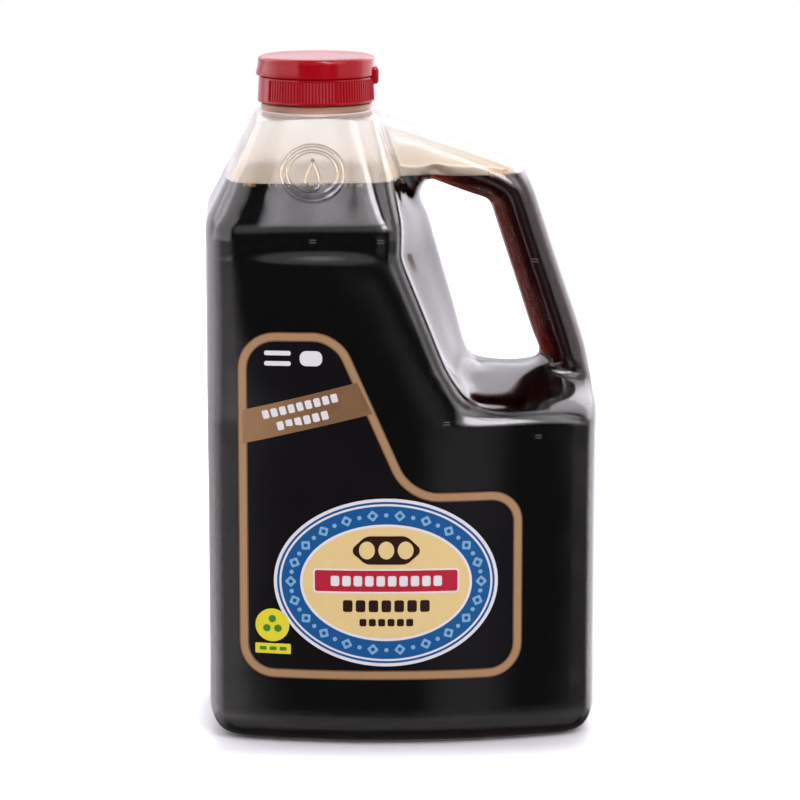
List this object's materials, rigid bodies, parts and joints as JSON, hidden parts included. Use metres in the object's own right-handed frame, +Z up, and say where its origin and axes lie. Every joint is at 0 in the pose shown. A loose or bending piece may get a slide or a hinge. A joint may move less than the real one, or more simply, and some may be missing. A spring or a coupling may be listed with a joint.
{
  "type": "soy sauce bottle",
  "caption": "Clear family-size sauce jug with a looped side handle, sloping shoulders, a red flip-top cap and printed front and back labels, full of dark soy sauce.",
  "frame": {"origin": "under the middle of the base, on the surface it stands on", "axes": "+Z up, +X towards the handle, -Y the front with the main label"},
  "size_m": [0.1356, 0.0996, 0.2347],
  "materials": {
    "clear_plastic": "clear glossy blow-moulded plastic with a faint warm tint",
    "dark_sauce": "near black liquid, reddish brown where it is thin",
    "red_plastic": "satin red injection-moulded plastic",
    "label_film": "smooth dark printed film with a bronze outline and an oval medallion"
  },
  "bodies": {
    "jug": {"bottle": "clear_plastic", "soy_sauce": "dark_sauce", "cap_base": "red_plastic", "front_label": "label_film", "back_label": "label_film"},
    "lid": {"cap_lid": "red_plastic"}
  },
  "joints": [
    {"name": "lid_hinge", "type": "hinge", "parent": "jug", "child": "lid", "pos_m": [-0.0074, 0, 0.2279], "axis": [0, 1, 0], "range_deg": [0, 145]}
  ]
}
